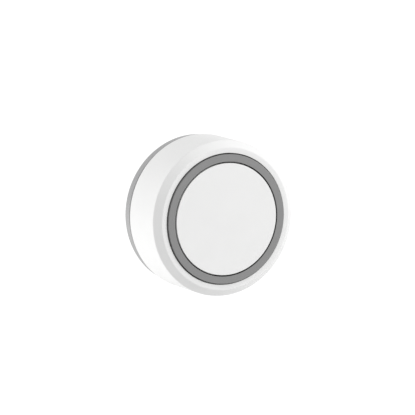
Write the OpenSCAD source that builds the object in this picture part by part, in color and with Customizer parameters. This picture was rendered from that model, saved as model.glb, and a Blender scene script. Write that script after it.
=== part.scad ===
// Wireless bell push for a wall.
// A round white housing carries a push button with a light ring round it. A rear cover
// closes the housing, and its three feet turn into a grey plate that is screwed to the wall.
// Every piece is drawn with z pointing out of the wall from the back of the plate and y up,
// and on_wall() then turns it so that the button faces -Y and +Z is up. Lengths are in mm.

/* [Housing] */
// Outer diameter of the housing
housing_d = 55; // [53:0.5:60]
// Depth of the housing, from its rear edge to the flat lip round the light ring
housing_depth = 19.5; // [18.5:0.5:26]
// Thickness of the housing's side wall
housing_wall = 2; // [1.6:0.1:2.4]
// Thickness of the lip
lip_t = 2.2; // [1.8:0.1:2.6]
// Width of the sloping front edge, across the axis
slope_w = 2.4; // [1.6:0.1:2.6]
// Height of the sloping front edge, along the axis
slope_h = 2.2; // [1.2:0.1:3]
// Radius at both ends of the slope
slope_round = 0.5; // [0.4:0.1:1.4]
// Radius of the housing's rear edge
rear_round = 0.15; // [0.1:0.05:0.8]
// Radius of the lip's inner edge
lip_round = 0.1; // [0.1:0.05:0.5]

/* [Button and light ring] */
// Diameter of the button
button_d = 39.4; // [36:0.2:40]
// How far the button's face stands in front of the lip
button_proud = 0.7; // [0.2:0.05:1.5]
// How far the button moves when it is pressed
button_travel = 0.7; // [0.4:0.05:1]
// Thickness of the button's face
button_face_t = 2; // [1.4:0.1:2.4]
// Thickness of the skirt behind the button's face
button_skirt_t = 1.7; // [1.2:0.1:2.4]
// Radius of the edge of the button's face
button_round = 0.1; // [0.1:0.05:0.6]
// Thickness of the flange that keeps the button behind the light ring
button_flange_t = 1; // [0.8:0.1:1.2]
// Diameter of the post behind the button that presses the dome
post_d = 7; // [4:0.5:9]
// Number of ribs between post and skirt
button_ribs = 6; // [3:1:8]
// Thickness of those ribs
button_rib_t = 1.2; // [0.8:0.1:1.6]
// Height of those ribs
button_rib_h = 0.9; // [0.4:0.1:1.2]
// Width of the light ring's face
ring_w = 2.6; // [2.4:0.05:3.4]
// How far the light ring's face stands in front of the lip
ring_proud = 0.6; // [0.1:0.05:1.2]
// Radius of the edges of the light ring's face
ring_round = 0.1; // [0.1:0.05:0.5]
// Thickness of the flange that keeps the light ring behind the lip
ring_flange_t = 2.5; // [2.3:0.1:3]
// How deep the button's flange reaches into the light ring
flange_reach = 1.25; // [0.9:0.05:1.5]

/* [Wall plate] */
// How far the plate's plinth, its wide part on the wall, stands inside the housing's side
plinth_inset = 0.6; // [0.3:0.1:1]
// Radius of the plinth's edge on the wall
plinth_round = 2.1; // [0.5:0.1:2.2]
// How far the plate's rim steps in from the plinth, under the housing's edge
rim_step = 0.7; // [0.6:0.1:1.2]
// Width of the shadow line between the plinth and the housing
shadow_w = 1.55; // [0.6:0.05:2]
// Height of the plate's rim from the wall
plate_h = 6; // [5.5:0.1:9]
// Thickness of the plate's floor
plate_floor = 2.2; // [1.9:0.1:2.6]
// Thickness of the plate's rim
plate_rim_t = 1.8; // [1.2:0.1:2.2]
// Radius of the front edges of plinth and rim, and of the battery cap's edge
plate_round = 0.3; // [0.1:0.05:0.5]
// Distance between the two wall screws
wall_screw_spacing = 32; // [28:1:35]
// Width of the slots for the wall screws
wall_slot_w = 4; // [3.2:0.1:4.6]
// Length of the slots for the wall screws
wall_slot_l = 8; // [6:0.5:9]
// Width of the seat for a wall screw's head
wall_seat_w = 8.4; // [7:0.2:9]
// Depth of the seat for a wall screw's head
wall_seat_depth = 0.8; // [0.4:0.1:0.9]
// Depth of the hollows in the back of the plate
hollow_depth = 1; // [0.5:0.1:1.2]
// Number of hollows above and below the screws
hollows = 4; // [2:1:5]
// Width of the ribs between the hollows, as an angle
hollow_rib = 6; // [4:1:10]
// Radius of the solid middle of the plate's back
hub_r = 10; // [8:0.5:12]

/* [Twist lock] */
// Angle from locked to free
twist = 28; // [24:1:40]
// Length of a foot, as an angle
foot_span = 24; // [16:1:30]
// How far a ledge stands in from the rim
ledge_w = 1.4; // [1:0.1:1.8]
// Thickness of a ledge
ledge_t = 1.4; // [1:0.1:1.6]
// Thickness of a foot's leg
leg_t = 2.2; // [1.6:0.1:2.6]
// Length of the stops beside the feet and lugs, as an angle
stop_span = 3; // [2:0.5:5]
// Play between a foot or lug and its stop, as an angle
stop_play = 1; // [0.5:0.5:2]
// Play past a ledge, or at each side of a lug in its notch, when a lock is free, as an angle
free_play = 2; // [1:0.5:3]

/* [Rear cover] */
// Thickness of the rear cover
cover_t = 2.2; // [2:0.1:2.6]
// How far the cover sits inside the housing's rear edge
cover_recess = 0.2; // [0:0.05:0.5]
// Thickness of the cover's sealing ring
cover_seal_t = 1; // [0.8:0.05:1.1]
// Diameter of the pillars that hold the circuit board
pillar_d = 4; // [3:0.2:4.6]
// Diameter of the case screws' heads
screw_head_d = 4; // [3.4:0.1:4.2]
// Height of the case screws' heads
screw_head_h = 1.1; // [0.8:0.1:1.2]
// Diameter of the case screws' shanks
screw_d = 2.2; // [1.8:0.1:2.4]
// Length of the case screws under their heads
screw_l = 9; // [6:0.5:9.5]
// Thickness of the wall round the case screws in the housing
boss_wall = 1.05; // [0.8:0.05:1.2]
// Thickness of the ribs that tie the screw bosses to the housing
boss_rib_t = 2.4; // [1.6:0.1:3]

/* [Battery] */
// Diameter of the coin cell
cell_d = 20; // [16:0.5:23]
// Thickness of the coin cell
cell_t = 3.2; // [1.6:0.1:3.6]
// Wall of the battery holder
holder_wall = 1.6; // [1:0.1:2]
// Thickness of the lips that keep the cell in its holder
holder_lip_t = 0.4; // [0.3:0.05:0.6]
// How far those lips reach over the cell
holder_lip_w = 0.7; // [0.4:0.1:1]
// Thickness of the contacts
contact_t = 0.25; // [0.15:0.05:0.4]
// Width of the contacts
contact_w = 4; // [3:0.2:5]
// Free height of the bow in the negative contact
contact_bow = 0.3; // [0.2:0.05:0.5]
// How much wider than the cell the battery port is, all round
port_margin = 1.6; // [1:0.1:2]
// Thickness of the battery cap
cap_t = 1.6; // [1.5:0.1:1.9]
// Wall of the cap's collar
cap_wall = 1.2; // [0.8:0.1:1.6]
// Thickness of the cap's sealing ring
cap_seal_t = 0.9; // [0.7:0.05:1]
// Width of the cap's edge outside its sealing ring
cap_edge = 0.75; // [0.5:0.05:1.2]
// Thickness of the cap's lugs
lug_t = 0.9; // [0.6:0.1:1.1]
// How far a lug stands out of the collar
lug_w = 1; // [0.7:0.1:1.2]
// Length of a lug, as an angle
lug_span = 28; // [20:1:34]
// Angle from the locked cap to the free one
cap_twist = 60; // [50:5:80]
// Length of the slot that turns the cap
coin_slot_l = 16; // [10:0.5:20]
// Width of the slot that turns the cap
coin_slot_w = 1.8; // [1.4:0.1:2.4]
// Depth of the slot that turns the cap
coin_slot_depth = 0.8; // [0.4:0.1:0.9]

/* [Circuit board] */
// Thickness of the circuit board
board_t = 1.6; // [1:0.1:1.8]
// How far the board's edge stays from the housing's wall
board_margin = 2; // [1.4:0.1:2.4]
// Height of the switch, board to the top of its stem
switch_h = 5; // [4.4:0.1:5.4]
// Height of the switch's case without its metal plate
switch_case_h = 3.2; // [2.9:0.1:3.4]
// Width of the switch
switch_w = 6; // [5:0.2:7]
// Thickness of the metal plate on the switch
switch_plate_t = 0.3; // [0.2:0.05:0.4]
// Diameter of the switch's stem
stem_d = 3.5; // [2.5:0.1:3.8]
// Thickness of the collar on the stem
stem_collar_t = 0.6; // [0.4:0.05:0.8]
// How much the collar is wider than the stem, all round
stem_collar_w = 0.5; // [0.4:0.05:0.7]
// Number of LEDs under the light ring
led_count = 9; // [6:3:12]
// Size of an LED along the ring, across the ring, and its height
led_size = [3, 2, 0.8]; // [0.6:0.1:3]
// Diameter of an LED's lens
led_lens_d = 1.5; // [1:0.1:1.8]
// Height of an LED's lens
led_lens_h = 0.2; // [0.1:0.05:0.4]
// Place of the transmitter chip on the board
chip_at = [-9, 4]; // [-10:0.5:10]
// Size of the transmitter chip
chip_size = [5, 5, 0.9]; // [0.7:0.1:6]
// Place of the crystal on the board
crystal_at = [-8.5, -4.5]; // [-10:0.5:10]
// Size of the crystal
crystal_size = [5, 3.2, 1.2]; // [1:0.1:6]
// Place of the capacitor on the board
capacitor_at = [8.5, 5]; // [-10:0.5:10]
// Size of the capacitor
capacitor_size = [3.5, 2.8, 1.9]; // [1.2:0.1:4]
// Place of the first resistor on the board
resistor_at = [8, -3]; // [-10:0.5:10]
// Size of a resistor
resistor_size = [1.6, 0.8, 0.5]; // [0.4:0.1:1.7]
// Distance between neighbouring resistors, along and across
resistor_pitch = [2.4, 1.8]; // [1.7:0.1:3]
// Number of resistors along and across
resistor_grid = [2, 3]; // [1:1:3]
// Length of the antenna wire
antenna_l = 82; // [60:1:88]
// Diameter of the antenna wire
antenna_d = 0.8; // [0.5:0.1:1]
// Height of the antenna wire's middle over the board
antenna_h = 1.3; // [0.8:0.1:1.6]

/* [Mat and light frame] */
// Thickness of the silicone mat
mat_t = 0.8; // [0.6:0.05:1]
// Height of the mat's dome
dome_h = 2; // [1.6:0.1:2.4]
// Diameter of the dome at its foot
dome_foot_d = 19; // [17:0.5:22]
// Diameter of the dome's flat top
dome_top_d = 12; // [10:0.5:13]
// Thickness of the dome's sloping wall, across the axis
dome_wall = 0.8; // [0.6:0.05:1]
// Thickness of the walls between the light cells
spoke_t = 1.2; // [0.8:0.1:1.6]
// Thickness of the light frame's inner wall
frame_wall = 1.2; // [0.8:0.1:1.6]

/* [Fits] */
// Gap round the button
button_gap = 0.5; // [0.2:0.05:0.6]
// Gap round the light ring
ring_gap = 0.4; // [0.15:0.05:0.5]
// Gap between the wall plate and the housing
seam_gap = 0.15; // [0.1:0.05:0.3]
// Gap between pieces that are stacked on each other
stack_gap = 0.1; // [0.05:0.01:0.15]
// Gap between moving and fixed pieces of the two twist locks
lock_gap = 0.3; // [0.2:0.05:0.35]
// Gap round a foot's tip and under it
foot_gap = 0.4; // [0.3:0.05:0.5]
// Gap between a piece and the wall of the hollow that it is put into
slip_gap = 0.2; // [0.15:0.01:0.3]
// Gap between a screw and its hole, or a sealing ring and its groove
close_gap = 0.05; // [0.03:0.01:0.08]

/* [Hidden] */
$fn = 96;
// Steps in each rounded corner of a profile
round_steps = 6;
// How far pieces of one solid reach into each other where they join
join = 0.5;
// Colours
housing_white = [0.93, 0.93, 0.93];
plate_grey = [0.72, 0.72, 0.73];
smoke_grey = [0.5, 0.5, 0.5];
silicone_clear = [0.85, 0.86, 0.84];
board_green = [0.1, 0.36, 0.2];
part_black = [0.08, 0.08, 0.09];
metal_grey = [0.7, 0.7, 0.68];
gold = [0.8, 0.66, 0.35];
seal_black = [0.12, 0.12, 0.12];

// Radii, from the middle outwards
housing_r = housing_d / 2;
housing_ir = housing_r - housing_wall;
button_r = button_d / 2;
ring_ir = button_r + button_gap;
ring_or = ring_ir + ring_w;
lip_ir = ring_or + ring_gap;
inner_r = housing_ir - slip_gap - stack_gap;
recess_r = ring_ir + flange_reach;
button_flange_r = recess_r - lock_gap;
plinth_r = housing_r - plinth_inset;
rim_r = plinth_r - rim_step;
rim_ir = rim_r - plate_rim_t;
ledge_ir = rim_ir - ledge_w;
leg_or = ledge_ir - lock_gap;
foot_or = rim_ir - foot_gap;
cover_r = housing_ir - slip_gap;
cover_groove_r = housing_ir - cover_seal_t - 2 * close_gap;
head_bore_r = screw_head_d / 2 + slip_gap;
screw_circle_r = cover_groove_r - 3 * slip_gap - head_bore_r;
pilot_r = screw_d / 2 + close_gap;
boss_r = pilot_r + boss_wall;
cell_r = cell_d / 2;
holder_ir = cell_r + slip_gap;
holder_or = holder_ir + holder_wall;
port_r = cell_r + port_margin;
collar_r = port_r - lock_gap;
lug_r = collar_r + lug_w;
lug_notch_r = lug_r + lock_gap;
cap_seal_r = lug_notch_r + 2 * slip_gap + cap_seal_t / 2;
cap_groove = cap_seal_t / 2 + close_gap;
cap_r = cap_seal_r + cap_groove + cap_edge;
board_r = housing_ir - board_margin;
pillar_circle_r = (holder_or + board_r) / 2;
light_cell_ir = ring_ir + close_gap;
light_cell_or = ring_or - stack_gap;
led_circle_r = (light_cell_ir + light_cell_or) / 2;
boss_clear_r = boss_r + lock_gap;
frame_ir = min(light_cell_ir - frame_wall, screw_circle_r - boss_clear_r - frame_wall);
antenna_r = frame_ir - antenna_d - lock_gap;
stem_r = stem_d / 2;
stem_collar_r = stem_r + stem_collar_w;

// Heights, from the wall outwards
ledge_z1 = plate_h - stack_gap;
ledge_z0 = ledge_z1 - ledge_t;
foot_z0 = plate_floor + foot_gap;
foot_z1 = ledge_z0 - lock_gap;
seam_z = plate_h + seam_gap;
plinth_z1 = seam_z - shadow_w;
cover_z0 = seam_z + cover_recess;
cover_z1 = cover_z0 + cover_t;
cap_z1 = cover_z0 - slip_gap;
cap_z0 = cap_z1 - cap_t;
lug_z0 = cover_z1 + slip_gap;
lug_z1 = lug_z0 + lug_t;
cap_seal_z = cover_z0 - close_gap - cap_seal_t / 2;
lip_z = seam_z + housing_depth;
lip_z0 = lip_z - lip_t;
ring_z1 = lip_z + ring_proud;
ring_flange_z1 = lip_z0 - stack_gap;
ring_z0 = ring_flange_z1 - ring_flange_t;
button_z1 = lip_z + button_proud;
button_face_z0 = button_z1 - button_face_t;
button_z0 = ring_z0 + stack_gap + button_travel;
button_flange_z1 = button_z0 + button_flange_t;
recess_z1 = button_flange_z1 + stack_gap;
mat_z0 = ring_z0 - mat_t;
dome_z0 = mat_z0 + dome_h;
dome_z1 = dome_z0 + mat_t;
post_z0 = dome_z1 + stack_gap;
stem_z1 = dome_z0 - stack_gap;
board_z1 = stem_z1 - switch_h;
board_z0 = board_z1 - board_t;
switch_plate_z0 = board_z1 + switch_case_h;
switch_plate_z1 = switch_plate_z0 + switch_plate_t;
stem_z0 = switch_plate_z0 - close_gap - stem_collar_t;
stem_bore_z0 = stem_z0 - button_travel - stack_gap;
frame_h = mat_z0 - board_z1;
contact_drop = contact_t + contact_bow;
cell_z1 = board_z0 - contact_drop - close_gap;
cell_z0 = cell_z1 - cell_t;
holder_z0 = cell_z0 - slip_gap - holder_lip_t;
screw_head_z1 = cover_z0 + screw_head_h + slip_gap;
screw_z1 = screw_head_z1 + screw_l;
boss_z0 = cover_z1 + stack_gap;
boss_z1 = mat_z0 - stack_gap;

// Places round the axis
boss_angles = [90, 210, 330];
foot_angles = [30, 150, 270];
led_pitch = 360 / led_count;
led_angles = [for (k = [0:led_count - 1]) boss_angles[0] + (k + 0.5) * led_pitch];
hollow_pitch = 120 / hollows;
hollow_angles = [for (half = [0, 180], k = [0:hollows - 1]) half + 30 + (k + 0.5) * hollow_pitch];
antenna_sweep = antenna_l / antenna_r * 180 / PI;
ledge_span = 2 * (twist - free_play) - foot_span;
lug_notch_span = lug_span + 2 * free_play;

// A corner [x, y, radius] of a profile as the points of its rounding
function unit(v) = v / norm(v);
function place(corner) = [corner[0], corner[1]];
function rounding(before, at, after, r) =
    r == 0 ? [at] :
    let (
        u = unit(before - at),
        v = unit(after - at),
        half = acos(u * v) / 2,
        centre = at + unit(u + v) * r / sin(half),
        start = at + u * r / tan(half) - centre,
        end = at + v * r / tan(half) - centre,
        from = atan2(start[1], start[0]),
        sweep = (atan2(end[1], end[0]) - from + 540) % 360 - 180
    )
    [for (i = [0:round_steps]) let (a = from + sweep * i / round_steps) centre + r * [cos(a), sin(a)]];

// A closed profile from its corners
function profile(corners) =
    let (n = len(corners))
    [for (i = [0:n - 1]) each rounding(
        place(corners[(i + n - 1) % n]), place(corners[i]), place(corners[(i + 1) % n]), corners[i][2])];

// A body of revolution from the corners of half its section
module turned(corners) {
    rotate_extrude() polygon(profile(corners));
}

// A stretch of such a body, centred on an angle
module sector(middle, span, corners) {
    rotate(middle - span / 2) rotate_extrude(angle = span) polygon(profile(corners));
}

// The corners of a rectangle from low to high
function box(x0, x1, y0, y1) = [[x0, y0, 0], [x1, y0, 0], [x1, y1, 0], [x0, y1, 0]];

// A block that stands on z with its middle on the axis, its upright edges rounded
module block(size, z, r = 0) {
    x = size[0] / 2;
    y = size[1] / 2;
    translate([0, 0, z]) linear_extrude(size[2])
        polygon(profile([[-x, -y, r], [x, -y, r], [x, y, r], [-x, y, r]]));
}

// A hole with round ends that runs along x
module slot(length, width, z0, z1) {
    run = length - width;
    for (side = [-1, 1]) translate([side * run / 2, 0, z0]) cylinder(d = width, h = z1 - z0);
    translate([-run / 2, -width / 2, z0]) cube([run, width, z1 - z0]);
}

// A ring of round section
module sealing_ring(r, z, thickness) {
    rotate_extrude() translate([r, z]) circle(d = thickness);
}

// From the drawing position to the wall
module on_wall() {
    rotate([90, 0, 0]) children();
}

// Grey dish on the wall: a plinth and a rim that leave a shadow line under the housing's edge.
// Its ledges hold the feet, its floor has two slots for screws, and its back is hollowed
// between ribs
module mounting_plate() {
    color(plate_grey) difference() {
        union() {
            turned([
                [0, 0, 0], [plinth_r, 0, plinth_round], [plinth_r, plinth_z1, plate_round],
                [rim_r, plinth_z1, 0], [rim_r, plate_h, plate_round], [rim_ir, plate_h, 0],
                [rim_ir, plate_floor, 0], [0, plate_floor, 0]
            ]);
            for (a = foot_angles) {
                sector(a, ledge_span, box(ledge_ir, rim_ir + join, ledge_z0, ledge_z1));
                sector(a - (foot_span + stop_span) / 2 - stop_play, stop_span,
                    box(ledge_ir, rim_ir + join, plate_floor - join, ledge_z0 + join));
            }
        }
        for (side = [-1, 1]) translate([side * wall_screw_spacing / 2, 0, 0]) {
            slot(wall_slot_l, wall_slot_w, -join, plate_floor + join);
            slot(wall_slot_l - wall_slot_w + wall_seat_w, wall_seat_w,
                plate_floor - wall_seat_depth, plate_floor + join);
        }
        for (a = hollow_angles)
            sector(a, hollow_pitch - hollow_rib, box(hub_r, ledge_ir - join, -join, hollow_depth));
    }
}

// Cover in the back of the housing: three feet for the twist lock behind it, pillars for the
// circuit board in front, a port for the battery with stops for the cap's lugs, and a groove
// round its edge for the seal
module rear_cover() {
    groove_z = (cover_z0 + cover_z1) / 2;
    groove_w = cover_seal_t / 2 + close_gap;
    color(plate_grey) difference() {
        union() {
            turned([
                [0, cover_z0, 0], [cover_r, cover_z0, 0], [cover_r, groove_z - groove_w, 0],
                [cover_groove_r, groove_z - groove_w, 0], [cover_groove_r, groove_z + groove_w, 0],
                [cover_r, groove_z + groove_w, 0], [cover_r, cover_z1, 0], [0, cover_z1, 0]
            ]);
            for (a = foot_angles) {
                sector(a, foot_span, [
                    [leg_or - leg_t, foot_z0, 0], [foot_or, foot_z0, 0], [foot_or, foot_z1, 0],
                    [leg_or, foot_z1, 0], [leg_or, cover_z0 + join, 0], [leg_or - leg_t, cover_z0 + join, 0]
                ]);
                rotate(a) translate([pillar_circle_r, 0, cover_z1 - join])
                    cylinder(d = pillar_d, h = board_z0 - stack_gap - cover_z1 + join);
            }
            for (side = [0, 180])
                sector(side + (lug_span + stop_span) / 2 + stop_play, stop_span,
                    box(port_r + slip_gap, lug_notch_r, cover_z1 - join, lug_z1));
        }
        translate([0, 0, cover_z0 - join]) cylinder(r = port_r, h = cover_t + 2 * join);
        for (side = [0, 180])
            sector(side - cap_twist, lug_notch_span,
                box(port_r - join, lug_notch_r, cover_z0 - join, cover_z1 + join));
        for (a = boss_angles) rotate(a) translate([screw_circle_r, 0, cover_z0 - join]) {
            cylinder(r = screw_d / 2 + slip_gap, h = cover_t + 2 * join);
            cylinder(r = head_bore_r, h = screw_head_h + slip_gap + join);
        }
    }
}

// Sealing ring in the groove round the rear cover
module cover_seal() {
    color(seal_black)
        sealing_ring(cover_groove_r + cover_seal_t / 2 + close_gap, (cover_z0 + cover_z1) / 2, cover_seal_t);
}

// Three self-tapping screws with round heads, driven from behind
module case_screws() {
    head_z0 = screw_head_z1 - screw_head_h;
    tip = screw_d / 2;
    color(metal_grey) for (a = boss_angles) rotate(a) translate([screw_circle_r, 0, 0]) difference() {
        turned([
            [0, head_z0, 0], [screw_head_d / 2, head_z0, screw_head_h / 2],
            [screw_head_d / 2, screw_head_z1, 0], [screw_d / 2, screw_head_z1, 0],
            [screw_d / 2, screw_z1 - tip, 0], [0, screw_z1, 0]
        ]);
        for (turn = [0, 90]) rotate(turn)
            block([screw_d, screw_d / 4, screw_head_h], head_z0 - screw_head_h / 2);
    }
}

// Round cap in the battery port, with two lugs on its collar and a slot for a coin
module battery_cover() {
    color(plate_grey) difference() {
        union() {
            turned([
                [0, cap_z0, 0], [cap_r, cap_z0, plate_round], [cap_r, cap_z1, 0],
                [cap_seal_r + cap_groove, cap_z1, 0],
                [cap_seal_r + cap_groove, cap_seal_z - cap_groove, 0],
                [cap_seal_r - cap_groove, cap_seal_z - cap_groove, 0],
                [cap_seal_r - cap_groove, cap_z1, 0], [collar_r, cap_z1, 0], [collar_r, lug_z1, 0],
                [collar_r - cap_wall, lug_z1, 0], [collar_r - cap_wall, cap_z1, 0], [0, cap_z1, 0]
            ]);
            for (side = [0, 180]) sector(side, lug_span, box(collar_r - join, lug_r, lug_z0, lug_z1));
        }
        slot(coin_slot_l, coin_slot_w, cap_z0 - join, cap_z0 + coin_slot_depth);
    }
}

// Sealing ring under the cap's edge
module battery_seal() {
    color(seal_black) sealing_ring(cap_seal_r, cap_seal_z, cap_seal_t);
}

// Coin cell, with its wide positive can to the cap and its raised negative face to the board
module coin_cell() {
    step = cell_t / 8;
    color(metal_grey) turned([
        [0, cell_z0, 0], [cell_r, cell_z0, step], [cell_r, cell_z1 - step, 0],
        [cell_r - 2 * step, cell_z1 - step, 0], [cell_r - 3 * step, cell_z1, 0], [0, cell_z1, 0]
    ]);
}

// Open ring round the cell, with three lips over its edge and a window for the side contact
module battery_holder() {
    color(part_black) difference() {
        union() {
            turned(box(holder_ir, holder_or, holder_z0, board_z0));
            for (a = foot_angles)
                sector(a, foot_span,
                    box(cell_r - holder_lip_w, holder_ir + join, holder_z0, holder_z0 + holder_lip_t));
        }
        rotate(90) translate([holder_ir - join, -contact_w / 2 - slip_gap, cell_z0 + cell_t / 4])
            cube([holder_wall + 2 * join, contact_w + 2 * slip_gap, board_z0 - cell_z0]);
    }
}

// Bowed leaf between the board and the cell's negative face
module negative_contact() {
    reach = cell_r / 2;
    bend = reach / 3;
    color(gold) translate([0, contact_w / 2, board_z0]) rotate([90, 0, 0]) linear_extrude(contact_w)
        polygon([
            [-reach, 0], [-bend, 0], [0, -contact_bow], [bend, 0], [reach, 0], [reach, -contact_t],
            [bend, -contact_t], [0, -contact_drop], [-bend, -contact_t], [-reach, -contact_t]
        ]);
}

// Angled strip that stands in the holder's window against the cell's edge
module positive_contact() {
    tab_x0 = cell_r + close_gap;
    tab_z0 = cell_z0 + cell_t / 4 + slip_gap;
    color(gold) rotate(90) translate([0, contact_w / 2, 0]) rotate([90, 0, 0]) linear_extrude(contact_w)
        polygon([
            [tab_x0, tab_z0], [tab_x0 + contact_t, tab_z0], [tab_x0 + contact_t, board_z0 - contact_t],
            [holder_or + contact_w / 2, board_z0 - contact_t], [holder_or + contact_w / 2, board_z0],
            [tab_x0, board_z0]
        ]);
}

// Room for a screw boss and the rib behind it
module boss_room(z, height) {
    for (a = boss_angles) rotate(a) translate([screw_circle_r, 0, z]) {
        cylinder(r = boss_clear_r, h = height);
        translate([0, -boss_rib_t / 2 - lock_gap, 0])
            cube([housing_r - screw_circle_r, boss_rib_t + 2 * lock_gap, height]);
    }
}

// Round board between the light frame and the rear cover's pillars
module circuit_board() {
    color(board_green) difference() {
        translate([0, 0, board_z0]) cylinder(r = board_r, h = board_t);
        boss_room(board_z0 - join, board_t + 2 * join);
    }
}

// Transmitter chip with a dimple at its first corner
module transmitter_chip() {
    dimple_r = chip_size[0] / 12;
    inset = chip_size[0] / 2 - 2 * dimple_r;
    color(part_black) translate([chip_at[0], chip_at[1], 0]) difference() {
        block(chip_size, board_z1);
        translate([-inset, inset, board_z1 + chip_size[2] - dimple_r / 2])
            cylinder(r = dimple_r, h = dimple_r);
    }
}

// Crystal in a metal can with a flange round its foot
module crystal() {
    flange = crystal_size[2] / 5;
    corner = crystal_size[1] / 4;
    color(metal_grey) translate([crystal_at[0], crystal_at[1], 0]) {
        block([crystal_size[0], crystal_size[1], flange], board_z1, corner);
        block(crystal_size - [2 * flange, 2 * flange, 0], board_z1, corner);
    }
}

// Moulded capacitor with a metal tab folded under each end
module capacitor() {
    tab = capacitor_size[2] / 8;
    color(gold) translate([capacitor_at[0], capacitor_at[1], 0]) {
        block([capacitor_size[0] - 2 * tab, capacitor_size[1], capacitor_size[2]], board_z1);
        block([capacitor_size[0], capacitor_size[1] * 2 / 3, capacitor_size[2] / 2], board_z1);
    }
}

// Small resistors in rows
module chip_resistors() {
    color(part_black) for (i = [0:resistor_grid[0] - 1], j = [0:resistor_grid[1] - 1])
        translate([resistor_at[0] + i * resistor_pitch[0], resistor_at[1] - j * resistor_pitch[1], 0])
            block(resistor_size, board_z1);
}

// Wire antenna that runs round the board on three posts
module antenna_wire() {
    wire_z = board_z1 + antenna_h;
    color(gold) rotate(90 - antenna_sweep / 2) {
        rotate_extrude(angle = antenna_sweep) translate([antenna_r, wire_z]) circle(d = antenna_d);
        for (share = [0.02, 0.5, 0.98]) rotate(share * antenna_sweep)
            translate([antenna_r, 0, board_z1]) cylinder(d = antenna_d * 0.75, h = antenna_h);
    }
}

// Case of the tactile switch, with a bore for the stem's collar
module switch_body() {
    color(part_black) difference() {
        block([switch_w, switch_w, switch_case_h], board_z1, switch_w / 20);
        translate([0, 0, stem_bore_z0])
            cylinder(r = stem_collar_r + slip_gap, h = switch_plate_z0 - stem_bore_z0 + join);
    }
}

// Metal plate that keeps the stem in the switch
module switch_plate() {
    color(metal_grey) difference() {
        block([switch_w, switch_w, switch_plate_t], switch_plate_z0, switch_w / 20);
        translate([0, 0, switch_plate_z0 - join])
            cylinder(r = stem_r + slip_gap, h = switch_plate_t + 2 * join);
    }
}

// Four bent leads at the sides of the switch
module switch_leads() {
    lead_t = switch_plate_t;
    lead_w = switch_w / 8;
    rise = switch_case_h / 4;
    x0 = switch_w / 2;
    x1 = x0 + switch_w / 5;
    color(metal_grey) for (turn = [0, 180], side = [-1, 1]) rotate(turn)
        translate([0, side * switch_w / 4 + lead_w / 2, board_z1]) rotate([90, 0, 0]) linear_extrude(lead_w)
            polygon([[x0, 0], [x1, 0], [x1, lead_t], [x0 + lead_t, lead_t], [x0 + lead_t, rise], [x0, rise]]);
}

// Stem of the switch, kept by its collar
module switch_stem() {
    color(part_black) turned([
        [0, stem_z0, 0], [stem_collar_r, stem_z0, 0], [stem_collar_r, stem_z0 + stem_collar_t, 0],
        [stem_r, stem_z0 + stem_collar_t, 0], [stem_r, stem_z1, stem_r / 10], [0, stem_z1, 0]
    ]);
}

// LEDs round the board, one in each light cell
module ring_leds() {
    color(housing_white) for (a = led_angles) rotate(a) translate([led_circle_r, 0, 0]) {
        block([led_size[1], led_size[0], led_size[2]], board_z1);
        translate([0, 0, board_z1]) cylinder(d = led_lens_d, h = led_size[2] + led_lens_h);
    }
}

// White frame between board and mat: two walls and the spokes that part the light cells
module light_frame() {
    color(housing_white) difference() {
        union() {
            turned(box(frame_ir, light_cell_ir, board_z1, mat_z0));
            turned(box(light_cell_or, inner_r, board_z1, mat_z0));
            for (a = led_angles) rotate(a + led_pitch / 2)
                translate([light_cell_ir - join, -spoke_t / 2, board_z1])
                    cube([light_cell_or - light_cell_ir + 2 * join, spoke_t, frame_h]);
        }
        boss_room(board_z1 - join, frame_h + 2 * join);
    }
}

// Silicone mat that keeps rain out behind ring and button, with a dome over the switch
module weather_mat() {
    foot_r = dome_foot_d / 2;
    top_r = dome_top_d / 2;
    color(silicone_clear) turned([
        [0, dome_z0, 0], [top_r - dome_wall, dome_z0, 0], [foot_r - dome_wall, mat_z0, 0],
        [inner_r, mat_z0, 0], [inner_r, ring_z0, 0], [foot_r, ring_z0, 0], [top_r, dome_z1, 0],
        [0, dome_z1, 0]
    ]);
}

// Smoke-grey ring round the button: its flange sits behind the lip, and the recess behind its
// inner edge stops the button
module light_ring() {
    color(smoke_grey) turned([
        [recess_r, ring_z0, 0], [inner_r, ring_z0, 0], [inner_r, ring_flange_z1, 0],
        [ring_or, ring_flange_z1, 0], [ring_or, ring_z1, ring_round], [ring_ir, ring_z1, ring_round],
        [ring_ir, recess_z1, 0], [recess_r, recess_z1, 0]
    ]);
}

// White button: a flat face on a skirt with a flange, and a ribbed post behind its middle
module push_button() {
    skirt_ir = button_r - button_skirt_t;
    color(housing_white) {
        turned([
            [0, button_face_z0, 0], [skirt_ir, button_face_z0, 0], [skirt_ir, button_z0, 0],
            [button_flange_r, button_z0, 0], [button_flange_r, button_flange_z1, 0],
            [button_r, button_flange_z1, 0], [button_r, button_z1, button_round], [0, button_z1, 0]
        ]);
        translate([0, 0, post_z0]) cylinder(d = post_d, h = button_face_z0 - post_z0 + join);
        for (k = [0:button_ribs - 1]) rotate(k * 360 / button_ribs)
            translate([0, -button_rib_t / 2, button_face_z0 - button_rib_h])
                cube([skirt_ir + join, button_rib_t, button_rib_h + join]);
    }
}

// White shell: side wall, sloping front edge and lip, with three screw bosses inside
module front_housing() {
    color(housing_white) difference() {
        union() {
            turned([
                [housing_ir, seam_z, 0], [housing_r, seam_z, rear_round],
                [housing_r, lip_z - slope_h, slope_round], [housing_r - slope_w, lip_z, slope_round],
                [lip_ir, lip_z, lip_round], [lip_ir, lip_z0, 0], [housing_ir, lip_z0, 0]
            ]);
            for (a = boss_angles) rotate(a) translate([screw_circle_r, 0, boss_z0]) {
                cylinder(r = boss_r, h = boss_z1 - boss_z0);
                translate([0, -boss_rib_t / 2, 0])
                    cube([housing_ir + housing_wall / 2 - screw_circle_r, boss_rib_t, boss_z1 - boss_z0]);
            }
        }
        for (a = boss_angles) rotate(a) translate([screw_circle_r, 0, boss_z0 - join])
            cylinder(r = pilot_r, h = screw_z1 - boss_z0 + 2 * join);
    }
}

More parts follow.
